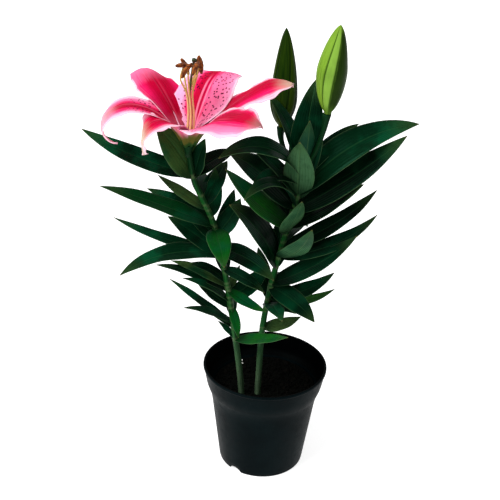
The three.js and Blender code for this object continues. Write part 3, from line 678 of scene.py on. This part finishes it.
def tube(route, radius_at, sides, rings):
    """Closed round body along a route; radius_at(along, angle) works on arrays."""
    middle = curve_points(route, rings + 1)
    tangent = unit(np.gradient(middle, axis=0))
    aside = np.where(np.abs(tangent[:, 1:2]) > 0.8, [[1.0, 0, 0]], [[0, 1.0, 0]])
    across = unit(np.cross(aside, tangent))
    over = np.cross(tangent, across)
    turns = np.arange(sides) * 2 * math.pi / sides
    along, angle = np.meshgrid(np.linspace(0, 1, rings + 1), turns, indexing="ij")
    radius = radius_at(along, angle)[..., None]
    points = middle[:, None] + radius * (np.cos(angle)[..., None] * across[:, None]
                                         + np.sin(angle)[..., None] * over[:, None])
    uv = [(a, b / (2 * math.pi)) for a, b in zip(along.ravel(), angle.ravel())] + [(0, 0), (1, 0)]
    faces = []
    for i in range(rings):
        for k in range(sides):
            low, next_low = i * sides + k, i * sides + (k + 1) % sides
            faces.append((low, next_low, next_low + sides, low + sides))
    foot, head = (rings + 1) * sides, (rings + 1) * sides + 1
    faces += [(foot, (k + 1) % sides, k) for k in range(sides)]
    faces += [(head, rings * sides + k, rings * sides + (k + 1) % sides) for k in range(sides)]
    return list(points.reshape(-1, 3)) + [middle[0], middle[-1]], faces, uv, along, angle


def on_route(route, z):
    p = np.array(route, float)
    k = int(np.clip(np.searchsorted(p[:, 2], z), 1, len(p) - 1))
    return p[k - 1] + (p[k] - p[k - 1]) * (z - p[k - 1, 2]) / (p[k, 2] - p[k - 1, 2])


def rib_frame(azimuth, rise, turn):
    """Direction, side and face normal of a midrib, from angles in degrees."""
    azimuth, rise, turn = math.radians(azimuth), math.radians(rise), math.radians(turn)
    level_out = np.array([math.cos(azimuth), math.sin(azimuth), 0.0])
    ahead = level_out * math.cos(rise) + np.array([0, 0, math.sin(rise)])
    level = np.array([-math.sin(azimuth), math.cos(azimuth), 0.0])
    face = np.cross(ahead, level)
    side = level * math.cos(turn) + face * math.sin(turn)
    return ahead, side, np.cross(ahead, side)


# Leaves and stems

def leaf_half_width(u, width):
    swell = ((u + 0.02) ** 0.6 * (1 - u) ** 0.9) / (0.4 ** 0.6 * 0.6 ** 0.9)
    return max(width / 2 * swell, LEAF_ROOT_HALF * (1 - u), 0.2)


def leaf_grid(row, route, draw):
    z, azimuth, rise, fall, length, width, turn = row[:7]
    middle = on_route(route, z)
    across = np.linspace(-1, 1, LEAF_ACROSS + 1)
    ripple = draw.uniform(0.25, 0.7)
    phase = draw.uniform(0, 2 * math.pi)
    grid = np.empty((LEAF_STEPS + 1, LEAF_ACROSS + 1, 3))
    for i in range(LEAF_STEPS + 1):
        u = i / LEAF_STEPS
        ahead, side, face = rib_frame(azimuth, rise - fall * u ** 1.3, turn)
        if i:
            middle = middle + ahead * length / LEAF_STEPS
        half = leaf_half_width(u, width)
        wave = ripple * math.sin(2 * math.pi * 2.2 * u + phase) * np.abs(across) ** 2 * math.sin(math.pi * u)
        lift = np.sqrt(across ** 2 + 0.01) * half * LEAF_FOLD + wave * np.sign(across)
        grid[i] = middle + np.outer(across * half, side) + np.outer(lift, face)
    return grid


def add_leaves(name, rows, route, material, seed, node):
    draw = random.Random(seed)
    heap = Heap()
    across = np.linspace(-1, 1, LEAF_ACROSS + 1)
    for row in rows:
        grid = leaf_grid(row, route, draw)
        thin = LEAF_THICKNESS * (1 - 0.55 * across ** 2) * np.ones((LEAF_STEPS + 1, 1))
        points, faces, uv, under = blade(grid, thin)
        tone = min(max(row[7] + draw.uniform(-0.08, 0.08), 0), 1)
        heap.add(points, faces, uv, under=under, tone=[tone] * len(points))
    dress(heap.build(name, material), "foliage", node)


def add_stem(name, pieces, leaf_heights, material, node):
    """pieces are (route, radius function, rings); a pale swelling marks each leaf's seat."""
    heap = Heap()
    for route, radius_at, rings in pieces:
        points, faces, uv = tube(route, radius_at, 28, rings)[:3]
        heights = np.array([p[2] for p in points])
        near = np.min(np.abs(heights[:, None] - np.array(leaf_heights)[None]), axis=1)
        heap.add(points, faces, uv, scar=np.clip(1 - near / 1.6, 0, 1))
    dress(heap.build(name, material), "foliage", node)


def ringed(radius_at, route, leaf_heights):
    """The radius with a slight swelling at each leaf's seat."""
    low, high = route[0][2], route[-1][2]

    def radius(along, angle):
        z = low + (high - low) * along
        near = np.min(np.abs(z[..., None] - np.array(leaf_heights)), axis=-1)
        return radius_at(along, angle) * (1 + 0.1 * np.clip(1 - near / 2.2, 0, 1))
    return radius


def stem_radius(along, angle):
    return STEM_FOOT_RADIUS - 0.6 + (STEM_TOP_RADIUS - STEM_FOOT_RADIUS + 0.6) * along


def pedicel_radius(along, angle):
    return PEDICEL_RADIUS + 2 * np.clip((along - 0.75) / 0.25, 0, 1) ** 1.5


def receptacle_radius(along, angle):
    body = STEM_TOP_RADIUS + (RECEPTACLE_RADIUS - STEM_TOP_RADIUS) * along ** 1.6
    return body * (1 + 0.05 * np.cos(6 * angle) * along)


def add_stems():
    stem, leaf = stem_material(), leaf_material()
    x, y, z = BLOOM_SEAT
    left = [row[0] for row in LEAVES_LEFT]
    right = [row[0] for row in LEAVES_RIGHT]
    add_stem("stem_left", [
        (STEM_LEFT, ringed(stem_radius, STEM_LEFT, left), 150),
        ([[x, y, z - RECEPTACLE_HEIGHT], [x, y, z]], receptacle_radius, 12),
    ], left, stem, "leafy_stem_left")
    add_leaves("leaves_left", LEAVES_LEFT, STEM_LEFT, leaf, 11, "leafy_stem_left")
    add_stem("stem_right", [
        (STEM_RIGHT, ringed(stem_radius, STEM_RIGHT, right), 150),
        (PEDICEL_FRONT, pedicel_radius, 30),
        (PEDICEL_BACK, pedicel_radius, 30),
    ], right, stem, "leafy_stem_right")
    add_leaves("leaves_right", LEAVES_RIGHT, STEM_RIGHT, leaf, 12, "leafy_stem_right")


# Bloom

def tepal_half_width(u, width, radius, widest, blunt):
    """Half width of a tepal, widest at the given place along it and within the funnel near its root."""
    rise = blunt * widest / (1 - widest)
    swell = (u / widest) ** rise * ((1 - u) / (1 - widest)) ** blunt
    claw = 0.82 * radius - GAP
    fade = math.sin(math.pi / 2 * min(max((u - 0.15) / 0.26, 0), 1))
    limit = claw + max(width / 2 - claw, 0) * fade
    return max(min(width / 2 * swell, limit), min(4.2, claw) * (1 - u) ** 2, 0.35)


def tepal_grid(row):
    name, azimuth, length, width, rises, turn, sweep, wave = row
    wave = EDGE_WAVES.get(name, wave)
    inner = "inner" in name
    widest = WIDEST.get(name, WIDEST_INNER if inner else WIDEST_OUTER)
    blunt = TIP_BLUNTNESS.get(name, 0.62)
    middle = BLOOM_SEAT + rib_frame(azimuth, 0, 0)[0] * TEPAL_ROOT_RADIUS + np.array([0, 0, GAP])
    across = np.linspace(-1, 1, TEPAL_ACROSS + 1)
    grid = np.empty((TEPAL_STEPS + 1, TEPAL_ACROSS + 1, 3))
    for i in range(TEPAL_STEPS + 1):
        u = i / TEPAL_STEPS
        rise = float(np.interp(u, np.linspace(0, 1, len(rises)), rises))
        ahead, side, face = rib_frame(azimuth + sweep * u, rise, turn * u)
        if i:
            middle = middle + ahead * length / TEPAL_STEPS
        radius = math.hypot(*(middle - BLOOM_SEAT)[:2])
        half = tepal_half_width(u, width, radius, widest, blunt)
        ripple = wave * u * np.sin(2 * math.pi * (2.6 * u + 0.25 * across)) * np.abs(across) ** 3
        frill = 0.35 * wave * u * np.sin(2 * math.pi * (7.3 * u + 0.4 * across)) * np.abs(across) ** 6
        groove = -1.1 * np.exp(-(across * half / 1.5) ** 2) * (1 - u)
        ridge = 0.7 * np.exp(-((np.abs(across) * half - 2.6) / 1.1) ** 2) * (1 - u)
        sink = 0 if inner else -1.0 * max(1 - 3 * u, 0)
        cup = 0.45 * max(1 - 2.5 * u, 0) + 0.22 - 0.37 * u
        cup -= TIP_CURL.get(name, 0) * min(max((u - 0.4) / 0.4, 0), 1)
        lift = cup * half * across ** 2 + ripple + frill + groove + ridge + sink
        uneven = np.sin(19 * u + 2.2 * np.sign(across) + azimuth) + 0.6 * np.sin(43 * u + azimuth)
        reach = across * half * (1 + 0.045 * u * uneven * across ** 2)
        grid[i] = middle + np.outer(reach, side) + np.outer(lift, face)
    return grid


def add_tepals():
    across = np.linspace(-1, 1, TEPAL_ACROSS + 1)
    along = np.linspace(0, 1, TEPAL_STEPS + 1)[:, None]
    for row in TEPALS:
        name, _, length, width = row[:4]
        keel = 0.5 * np.exp(-(across / 0.08) ** 2) * (1 - along)
        thick = TEPAL_THICKNESS * ((1 - 0.62 * across ** 2) * np.ones_like(along) + keel)
        points, faces, uv, under = blade(tepal_grid(row), thick)
        material = tepal_material("lily_" + name, length, width, dict(zip(LOOK_PARTS, LOOKS[name])))
        piece = make_object(name + "_petal", points, faces, material, uv, {"under": under})
        dress(piece, "tepal", name)


def add_filament(k, row, material):
    root_azimuth, place, heading, pitch, bow = row
    out = rib_frame(root_azimuth, 0, 0)[0]
    face = rib_frame(heading, pitch, 0)[2]
    centre = BLOOM_SEAT + np.array(place, float)
    root = BLOOM_SEAT + out * FILAMENT_ROOT_RADIUS + np.array([0, 0, GAP])
    reach = centre - face * (ANTHER_RADIUS * 0.9)
    gathered = [BLOOM_SEAT + out * BUNDLE_RADIUS + np.array([lean, 0, rise]) for rise, lean in BUNDLE]
    bowed = gathered[1] + (reach - gathered[1]) * 0.6 + out * bow
    route = [root, *gathered, bowed, reach]
    points, faces, uv, _, _ = tube(route, lambda a, b: FILAMENT_RADIUS * (1.1 - 0.4 * a), 14, 60)
    dress(make_object(f"filament_stalk_{k}", points, faces, material, uv), "filament", f"filament_{k}")


def anther_radius(along, angle):
    body = ANTHER_RADIUS * (0.25 + 0.75 * np.sin(math.pi * np.clip(along, 0.01, 0.99)) ** 0.4)
    lobes = 1 - 0.12 * np.cos(2 * angle) - 0.14 * np.exp(-((np.abs(np.sin(angle)) - 1) / 0.06) ** 2)
    return body * lobes * (1 + 0.05 * np.sin(31 * along + 3 * angle))


def add_anther(k, row, material):
    _, place, heading, pitch, _ = row
    ahead, _, face = rib_frame(heading, pitch, 0)
    centre = BLOOM_SEAT + np.array(place, float)
    bow = face * -1.2
    route = [centre - ahead * ANTHER_LENGTH / 2 + bow, centre, centre + ahead * ANTHER_LENGTH / 2 + bow]
    points, faces, uv, _, angle = tube(route, anther_radius, 28, 44)
    groove = np.exp(-((np.abs(np.sin(angle)) - 1) / 0.025) ** 2).ravel()
    marks = {"groove": np.concatenate([groove, [0, 0]])}
    dress(make_object(f"anther_pod_{k}", points, faces, material, uv, marks), "anther", f"anther_{k}")


def add_stamens():
    pale, rust = filament_material(), anther_material()
    for k, row in enumerate(STAMENS, 1):
        add_filament(k, row, pale)
        add_anther(k, row, rust)


def pistil_radius(along, angle):
    fade = np.clip(1 - np.clip(along - 0.15, 0, 1) / 0.1, 0, 1)
    head = np.clip((along - 0.94) / 0.06, 0, 1)
    lobes = 1 + 0.16 * np.cos(3 * angle)
    round_end = np.sqrt(np.clip(1 - ((head - 0.62) / 0.39) ** 2, 0.02, 1))
    stigma = (STIGMA_RADIUS - STYLE_RADIUS) * np.clip(2.2 * head, 0, 1) * lobes * round_end
    ovary = (OVARY_RADIUS - STYLE_RADIUS) * fade * (1 + 0.06 * np.cos(6 * angle))
    return STYLE_RADIUS * np.where(head > 0.95, 0.6, 1) + ovary + stigma


def add_pistil():
    x, y, z = BLOOM_SEAT
    gathered = [[x + lean, y, z + rise] for rise, lean in BUNDLE]
    route = [[x, y, z + GAP], *gathered, [x + 3, y, z + 69], [x + 4.8, y, z + 80]]
    points, faces, uv, _, _ = tube(route, pistil_radius, 30, 120)
    dress(make_object("pistil_style", points, faces, pistil_material(), uv), "pistil", "pistil")


# Buds

def add_bud(row, material, slot, turn, shaded):
    """Three outer tepals meet in raised ridges between two grooves; turn places the ridges, which lean round
    the bud as they rise, and shaded is where the tepal with painted shade starts after the first ridge."""
    name, foot, tip, radius, widest, bend = row
    middle = [(foot[0] + tip[0]) / 2 + bend, (foot[1] + tip[1]) / 2, (foot[2] + tip[2]) / 2]

    def past_ridge(along, angle):
        return (angle - math.radians(turn) - RIDGE_LEAN * (along - 0.4)) % (2 * math.pi)

    def off_ridge(along, angle):
        third = 2 * math.pi / 3
        return np.abs((past_ridge(along, angle) + third / 2) % third - third / 2)

    def grooves(along, angle):
        return np.exp(-((off_ridge(along, angle) - RIDGE_HALF) / 0.06) ** 2)

    def ridges(along, angle):
        return np.clip((RIDGE_HALF - off_ridge(along, angle)) / 0.08, 0, 1)

    def swell(along, angle):
        rise = np.sin(math.pi / 2 * np.clip(along / widest, 0, 1)) ** 0.55
        fall = (1 - np.clip((along - widest) / (1 - widest), 0, 1) ** 1.4) ** 0.66
        body = np.maximum(radius * rise, BUD_FOOT_RADIUS) * fall
        shape = 1 - 0.07 * grooves(along, angle) + 0.03 * ridges(along, angle)
        return np.maximum(body * shape, 0.4)
    points, faces, uv, along, angle = tube([foot, middle, tip], swell, 108, 80)
    fade = np.clip(np.minimum((along - 0.02) / 0.08, (1 - along) / 0.04), 0, 1)
    # Painted shade: marks the outer tepal on the unlit side.
    past = past_ridge(along, angle) - math.radians(shaded)
    dark = np.clip(np.minimum(past, 2 * math.pi / 3 - 2 * RIDGE_HALF - past) / 0.08, 0, 1)
    marks = {"groove": np.concatenate([(grooves(along, angle) * fade).ravel(), [0, 0]]),
             "ridge": np.concatenate([(ridges(along, angle) * fade).ravel(), [0, 0]]),
             "shade": np.concatenate([dark.ravel(), [0, 0]])}
    dress(make_object(name + "_skin", points, faces, material, uv, marks), slot, name)


def add_buds():
    light = bud_material("lily_bud_lit", (0.2, 0.37, 0.048), (0.165, 0.31, 0.022),
                         (0.002, 0.011, 0.0003), (0.003, 0.026, 0.001), (0.06, 0.13, 0.014))
    # The back bud takes a darker copy of the bud colours as painted shade; its paler foot is a painted light
    # patch.
    dark = bud_material("lily_bud_painted_shade", (0.018, 0.04, 0.0006), (0.004, 0.018, 0.0004),
                        (0.002, 0.012, 0.0004), (0.002, 0.009, 0.0006), (0.06, 0.09, 0.002))
    add_bud(BUDS[0], light, "bud_light", 256, math.degrees(RIDGE_HALF))
    add_bud(BUDS[1], dark, "bud_dark", 190, 120 + math.degrees(RIDGE_HALF))


# Pot and soil

def rounded(corners, steps=5):
    """A profile whose corners (r, z, radius) are rounded off by arcs of about that radius."""
    out = []
    for k, (r, z, bend) in enumerate(corners):
        here = np.array([r, z], float)
        if bend == 0 or k in (0, len(corners) - 1):
            out.append(here)
            continue
        before = np.array(corners[k - 1][:2], float)
        after = np.array(corners[k + 1][:2], float)
        start = here + (before - here) * min(bend / np.linalg.norm(before - here), 0.48)
        end = here + (after - here) * min(bend / np.linalg.norm(after - here), 0.48)
        for t in np.linspace(0, 1, steps):
            out.append((1 - t) ** 2 * start + 2 * t * (1 - t) * here + t ** 2 * end)
    return out


def lathe(profile, sides):
    """A closed body turned from a profile that starts and ends on the axis."""
    rings = [p for p in profile if p[0] > 1e-6]
    points = []
    for r, z in rings:
        for k in range(sides):
            angle = 2 * math.pi * k / sides
            points.append((r * math.cos(angle), r * math.sin(angle), z))
    faces = []
    for i in range(len(rings) - 1):
        for k in range(sides):
            a, b = i * sides + k, i * sides + (k + 1) % sides
            faces.append((a, b, b + sides, a + sides))
    first, last = len(points), len(points) + 1
    points += [(0, 0, profile[0][1]), (0, 0, profile[-1][1])]
    top = (len(rings) - 1) * sides
    faces += [(first, (k + 1) % sides, k) for k in range(sides)]
    faces += [(last, top + k, top + (k + 1) % sides) for k in range(sides)]
    return points, faces


def drain_radius(along, angle):
    return DRAIN_RADIUS + 0 * along


def add_pot():
    corners = [
        (0, 0, 0), (POT_BASE_RADIUS - 5, 0, 0), (POT_BASE_RADIUS - 0.4, 0, 1.6),
        (POT_BASE_RADIUS + 0.8, 9, 0),
        (POT_SHOULDER_RADIUS - 0.3, POT_SHOULDER_Z - 6, 12),
        (COLLAR_FOOT_RADIUS - 0.2, COLLAR_FOOT_Z - 0.6, 6),
        (POT_RIM_RADIUS - 0.9, POT_HEIGHT - 3.2, 0.6), (POT_RIM_RADIUS, POT_HEIGHT - 2.6, 0.5),
        (POT_RIM_RADIUS, POT_HEIGHT, 1.1), (POT_RIM_RADIUS - 2.6, POT_HEIGHT, 1.1),
        (COLLAR_FOOT_RADIUS - POT_WALL, COLLAR_FOOT_Z + 1.5, 2.5),
        (POT_SHOULDER_RADIUS - POT_WALL, POT_SHOULDER_Z, 5),
        (POT_BASE_RADIUS - POT_WALL + 0.9, 9, 0), (POT_BASE_RADIUS - POT_WALL, POT_WALL, 2),
        (0, POT_WALL, 0),
    ]
    points, faces = lathe(rounded(corners), POT_SIDES)
    pot = make_object("pot_shell", points, faces, pot_material())
    cutters = Heap()
    for k in range(DRAIN_COUNT):
        azimuth = math.radians(DRAIN_FIRST_AZIMUTH + 360 / DRAIN_COUNT * k)
        out = np.array([math.cos(azimuth), math.sin(azimuth), 0])
        middle = out * POT_BASE_RADIUS + np.array([0, 0, DRAIN_HEIGHT - DRAIN_RADIUS])
        points, faces, uv = tube([middle - out * 8, middle + out * 8], drain_radius, 48, 1)[:3]
        cutters.add(points, faces, uv)
    cutter = cutters.build("drain_cutter", pot.data.materials[0])
    cut = pot.modifiers.new("drains", "BOOLEAN")
    cut.operation = "DIFFERENCE"
    cut.solver = "EXACT"
    cut.object = cutter
    shaped = bpy.data.meshes.new_from_object(pot.evaluated_get(bpy.context.evaluated_depsgraph_get()))
    pot.modifiers.clear()
    pot.data = shaped
    bpy.data.objects.remove(cutter)
    dress(pot, "pot_plastic", "pot")


def soil_height(x, y):
    """Top of the soil: a low mound with uneven lumps."""
    mound = 1.0 - ((x * x + y * y) / 54.0 ** 2)
    lumps = math.sin(x * 0.21 + 1.3) * math.cos(y * 0.19 - 0.4) + 0.6 * math.sin(x * 0.47 - y * 0.39)
    fine = 0.35 * math.sin(x * 1.31 + y * 0.83) * math.sin(y * 1.57 - x * 0.41)
    return SOIL_FILL_Z + 0.6 * mound + 0.42 * SOIL_BUMP * (lumps * 0.5 + fine)


def add_soil():
    radius = POT_SHOULDER_RADIUS - POT_WALL - GAP - 0.2
    base = POT_BASE_RADIUS - POT_WALL - GAP - 0.2
    sides, rings = 120, 46
    points, faces = [], []
    for z, r in ((POT_WALL + GAP, base * 0.97), (POT_WALL + GAP + 3, base)):
        points += [(r * math.cos(a), r * math.sin(a), z) for a in np.arange(sides) * 2 * math.pi / sides]
    for ring in range(rings):
        r = radius * (1 - ring / rings)
        for a in np.arange(sides) * 2 * math.pi / sides:
            x, y = r * math.cos(a), r * math.sin(a)
            points.append((x, y, soil_height(x, y) - (1.2 if ring == 0 else 0)))
    for i in range(rings + 1):
        for k in range(sides):
            a, b = i * sides + k, i * sides + (k + 1) % sides
            faces.append((a, b, b + sides, a + sides))
    low, high = len(points), len(points) + 1
    points += [(0, 0, POT_WALL + GAP), (0, 0, soil_height(0, 0))]
    faces += [(low, (k + 1) % sides, k) for k in range(sides)]
    faces += [(high, (rings + 1) * sides + k, (rings + 1) * sides + (k + 1) % sides) for k in range(sides)]
    dress(make_object("soil_bed", points, faces, soil_material()), "soil", "soil")
    add_grains("soil_crumbs", 900, (0.7, 2.4), 21, soil_material(), 0.6)
    add_grains("soil_perlite", 9, (0.9, 1.7), 22,
               plain_grain_material("perlite", (0.5, 0.49, 0.45), (0.8, 0.79, 0.75), 900.0, 0.9), 0.75)
    # Bark near black: partly its own dark colour, partly painted shade of the pot's hollow.
    add_grains("soil_bark", 120, (1.4, 4.2), 23,
               plain_grain_material("bark", (0.0008, 0.0007, 0.0005), (0.003, 0.0026, 0.0018),
                                    500.0, 0.85), 0.35)


def add_grains(name, count, sizes, seed, material, flatness):
    """Small uneven lumps scattered over the soil, clear of the stems."""
    draw = random.Random(seed)
    heap = Heap()
    stems = [on_route(STEM_LEFT, SOIL_FILL_Z), on_route(STEM_RIGHT, SOIL_FILL_Z)]
    reach = POT_SHOULDER_RADIUS - POT_WALL - 4
    placed = 0
    while placed < count:
        angle, r = draw.uniform(0, 2 * math.pi), reach * math.sqrt(draw.random())
        x, y = r * math.cos(angle), r * math.sin(angle)
        size = draw.uniform(*sizes)
        if min(math.hypot(x - s[0], y - s[1]) for s in stems) < 5 + size:
            continue
        work = bmesh.new()
        bmesh.ops.create_icosphere(work, subdivisions=1, radius=size)
        turn = Euler([draw.uniform(0, 6.28) for _ in range(3)]).to_matrix()
        points = []
        for vertex in work.verts:
            p = vertex.co * draw.uniform(0.72, 1.15)
            p = turn @ Vector((p.x, p.y * draw.uniform(0.85, 1), p.z * flatness))
            points.append((p.x + x, p.y + y, p.z + soil_height(x, y) + size * 0.15))
        faces = [tuple(v.index for v in face.verts) for face in work.faces]
        work.free()
        heap.add(points, faces, [(0, 0)] * len(points))
        placed += 1
    dress(heap.build(name, material), "soil", "soil")


# Frame nodes that stay

def dress_bulb():
    n = Nodes("bulb_scales")
    cloud = n.noise(n.place(), 120.0, 4.0)
    colour = n.mix(n.ease(cloud, 0.3, 0.7), (0.56, 0.45, 0.25), (0.78, 0.7, 0.48))
    n.bump(cloud, 0.6, 0.001)
    n.set(Base_Color=colour, Roughness=0.6)
    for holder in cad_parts["bulb"].material_slots:
        holder.material = n.material


# Floor, lights and camera

def add_floor():
    bpy.ops.mesh.primitive_plane_add(size=8)
    floor = bpy.context.object
    floor.name = "floor"
    n = Nodes("floor_pale")
    n.set(Base_Color=(0.62, 0.62, 0.62, 1), Roughness=0.9, Specular_IOR_Level=0.1,
          Emission_Color=(1, 1, 1, 1), Emission_Strength=0.72)
    floor.data.materials.append(n.material)


def add_sun(name, azimuth, height, angle, strength):
    """A soft far light from an azimuth and a height in degrees, spread over an angle."""
    data = bpy.data.lights.new(name, "SUN")
    data.energy = strength
    data.angle = math.radians(angle)
    light = bpy.data.objects.new(name, data)
    azimuth, height = math.radians(azimuth), math.radians(height)
    level = math.cos(height)
    place = Vector((math.cos(azimuth) * level, math.sin(azimuth) * level, math.sin(height)))
    light.location = place * 2
    light.rotation_euler = place.to_track_quat("Z", "Y").to_euler()
    bpy.context.scene.collection.objects.link(light)


def add_studio():
    world = bpy.data.worlds.new("studio")
    world.use_nodes = True
    world.node_tree.nodes["Background"].inputs["Color"].default_value = (1, 1, 1, 1)
    world.node_tree.nodes["Background"].inputs["Strength"].default_value = 0.48
    bpy.context.scene.world = world
    add_sun("key", 210, 50, 36, 3.0)
    add_sun("fill", 290, 35, 60, 0.5)
    bpy.context.scene.view_settings.view_transform = "Standard"


def add_camera():
    data = bpy.data.cameras.new("photo_camera")
    data.lens = CAMERA_LENS
    data.sensor_width = 36
    camera = bpy.data.objects.new("photo_camera", data)
    camera.location = CAMERA_PLACE
    tilt = Euler((math.radians(90 - CAMERA_TILT), 0, 0)).to_matrix()
    roll = Euler((0, 0, math.radians(CAMERA_ROLL))).to_matrix()
    camera.rotation_euler = (tilt @ roll).to_euler()
    bpy.context.scene.collection.objects.link(camera)
    bpy.context.scene.camera = camera


add_camera()
add_studio()
add_floor()
add_pot()
add_soil()
dress_bulb()
add_stems()
add_tepals()
add_stamens()
add_pistil()
add_buds()
